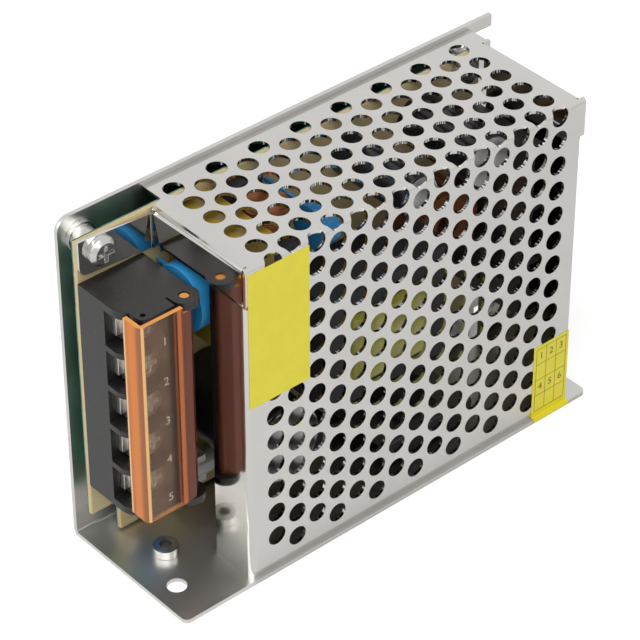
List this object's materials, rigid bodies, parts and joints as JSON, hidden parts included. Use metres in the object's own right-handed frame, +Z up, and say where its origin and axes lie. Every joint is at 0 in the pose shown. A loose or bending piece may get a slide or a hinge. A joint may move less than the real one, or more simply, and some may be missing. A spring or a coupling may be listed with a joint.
{
  "type": "enclosed switching led power supply",
  "caption": "Open-frame LED power supply in a folded steel chassis under a perforated cover, with a screw terminal block behind a hinged amber guard.",
  "frame": {"origin": "centre of the outer box in plan, on the underside of the side plate that the supply stands on", "axes": "+X from the terminal end to the rear, +Y from the perforated broad face to the base plate, +Z up"},
  "size_m": [0.112, 0.0362, 0.078],
  "materials": {
    "tinned_steel": "bright tinned sheet steel",
    "screw_steel": "bright nickel plate",
    "board_paper": "cream phenolic paper board",
    "black_moulding": "black thermoset moulding",
    "amber_clear": "clear amber polycarbonate",
    "tinned_contact": "tin plated brass",
    "ferrite": "dull black ferrite",
    "yellow_tape": "yellow polyester tape",
    "yellow_case": "yellow moulded case",
    "blue_epoxy": "blue epoxy coating",
    "capacitor_sleeve": "black shrink sleeve on an aluminium can",
    "copper_winding": "enamelled copper wire",
    "fuse_glass": "glass tube with metal caps",
    "package_epoxy": "black moulded package",
    "sink_aluminium": "mill finish aluminium",
    "resistor_body": "lacquered resistor body",
    "trimmer_blue": "blue moulded body",
    "trimmer_white": "white moulded rotor",
    "lamp_green": "diffused green lens",
    "yellow_label": "yellow film sticker"
  },
  "bodies": {
    "supply": {"auxiliary_capacitor": "capacitor_sleeve", "board_screws": "screw_steel", "board_standoffs": "screw_steel", "bridge_rectifier": "package_epoxy", "bulk_capacitor": "capacitor_sleeve", "chassis_plate": "tinned_steel", "circuit_board": "board_paper", "contact_bars": "tinned_contact", "control_chip": "package_epoxy", "ear_screw": "screw_steel", "film_capacitor": "yellow_case", "front_label": "yellow_label", "fuse": "fuse_glass", "fuse_clips": "tinned_contact", "line_filter_bobbin": "ferrite", "line_filter_coils": "copper_winding", "optocoupler": "package_epoxy", "output_capacitor_1": "capacitor_sleeve", "output_capacitor_2": "capacitor_sleeve", "output_choke": "copper_winding", "output_heat_sink": "sink_aluminium", "output_rectifier": "package_epoxy", "perforated_cover": "tinned_steel", "pilot_lamp": "lamp_green", "primary_heat_sink": "sink_aluminium", "resistors": "resistor_body", "safety_disc": "blue_epoxy", "seal_label": "yellow_label", "side_mount_nut": "screw_steel", "surge_disc": "blue_epoxy", "switch_transistor": "package_epoxy", "terminal_block": "black_moulding", "transformer_bobbin": "black_moulding", "transformer_core": "ferrite", "transformer_winding": "yellow_tape", "trimmer_body": "trimmer_blue"},
    "guard": {"terminal_guard": "amber_clear"},
    "rotor": {"trimmer_rotor": "trimmer_white"},
    "clamp_1": {"clamp_plate_1": "tinned_contact"},
    "screw_1": {"terminal_screw_1": "screw_steel"},
    "clamp_2": {"clamp_plate_2": "tinned_contact"},
    "screw_2": {"terminal_screw_2": "screw_steel"},
    "clamp_3": {"clamp_plate_3": "tinned_contact"},
    "screw_3": {"terminal_screw_3": "screw_steel"},
    "clamp_4": {"clamp_plate_4": "tinned_contact"},
    "screw_4": {"terminal_screw_4": "screw_steel"},
    "clamp_5": {"clamp_plate_5": "tinned_contact"},
    "screw_5": {"terminal_screw_5": "screw_steel"}
  },
  "joints": [
    {"name": "guard_hinge", "type": "hinge", "parent": "supply", "child": "guard", "pos_m": [-0.0429, -0.0042, 0.0419], "axis": [0, 0, 1], "range_deg": [0, 90]},
    {"name": "trimmer_turn", "type": "hinge", "parent": "supply", "child": "rotor", "pos_m": [-0.0439, 0.00665, 0.0134], "axis": [0, -1, 0], "range_deg": [-130, 130]},
    {"name": "clamp_lift_1", "type": "slide", "parent": "supply", "child": "clamp_1", "axis": [0, -1, 0], "range_m": [0, 0.0018]},
    {"name": "screw_turn_1", "type": "hinge", "parent": "clamp_1", "child": "screw_1", "pos_m": [-0.0495, 0.00135, 0.0229], "axis": [0, -1, 0], "range_deg": [0, 1080]},
    {"name": "clamp_lift_2", "type": "slide", "parent": "supply", "child": "clamp_2", "axis": [0, -1, 0], "range_m": [0, 0.0018]},
    {"name": "screw_turn_2", "type": "hinge", "parent": "clamp_2", "child": "screw_2", "pos_m": [-0.0495, 0.00135, 0.0324], "axis": [0, -1, 0], "range_deg": [0, 1080]},
    {"name": "clamp_lift_3", "type": "slide", "parent": "supply", "child": "clamp_3", "axis": [0, -1, 0], "range_m": [0, 0.0018]},
    {"name": "screw_turn_3", "type": "hinge", "parent": "clamp_3", "child": "screw_3", "pos_m": [-0.0495, 0.00135, 0.0419], "axis": [0, -1, 0], "range_deg": [0, 1080]},
    {"name": "clamp_lift_4", "type": "slide", "parent": "supply", "child": "clamp_4", "axis": [0, -1, 0], "range_m": [0, 0.0018]},
    {"name": "screw_turn_4", "type": "hinge", "parent": "clamp_4", "child": "screw_4", "pos_m": [-0.0495, 0.00135, 0.0514], "axis": [0, -1, 0], "range_deg": [0, 1080]},
    {"name": "clamp_lift_5", "type": "slide", "parent": "supply", "child": "clamp_5", "axis": [0, -1, 0], "range_m": [0, 0.0018]},
    {"name": "screw_turn_5", "type": "hinge", "parent": "clamp_5", "child": "screw_5", "pos_m": [-0.0495, 0.00135, 0.0609], "axis": [0, -1, 0], "range_deg": [0, 1080]}
  ],
  "couplings": [
    {"joint": "screw_turn_1", "follows": "clamp_lift_1", "rad_per_m": 10472},
    {"joint": "screw_turn_2", "follows": "clamp_lift_2", "rad_per_m": 10472},
    {"joint": "screw_turn_3", "follows": "clamp_lift_3", "rad_per_m": 10472},
    {"joint": "screw_turn_4", "follows": "clamp_lift_4", "rad_per_m": 10472},
    {"joint": "screw_turn_5", "follows": "clamp_lift_5", "rad_per_m": 10472}
  ]
}
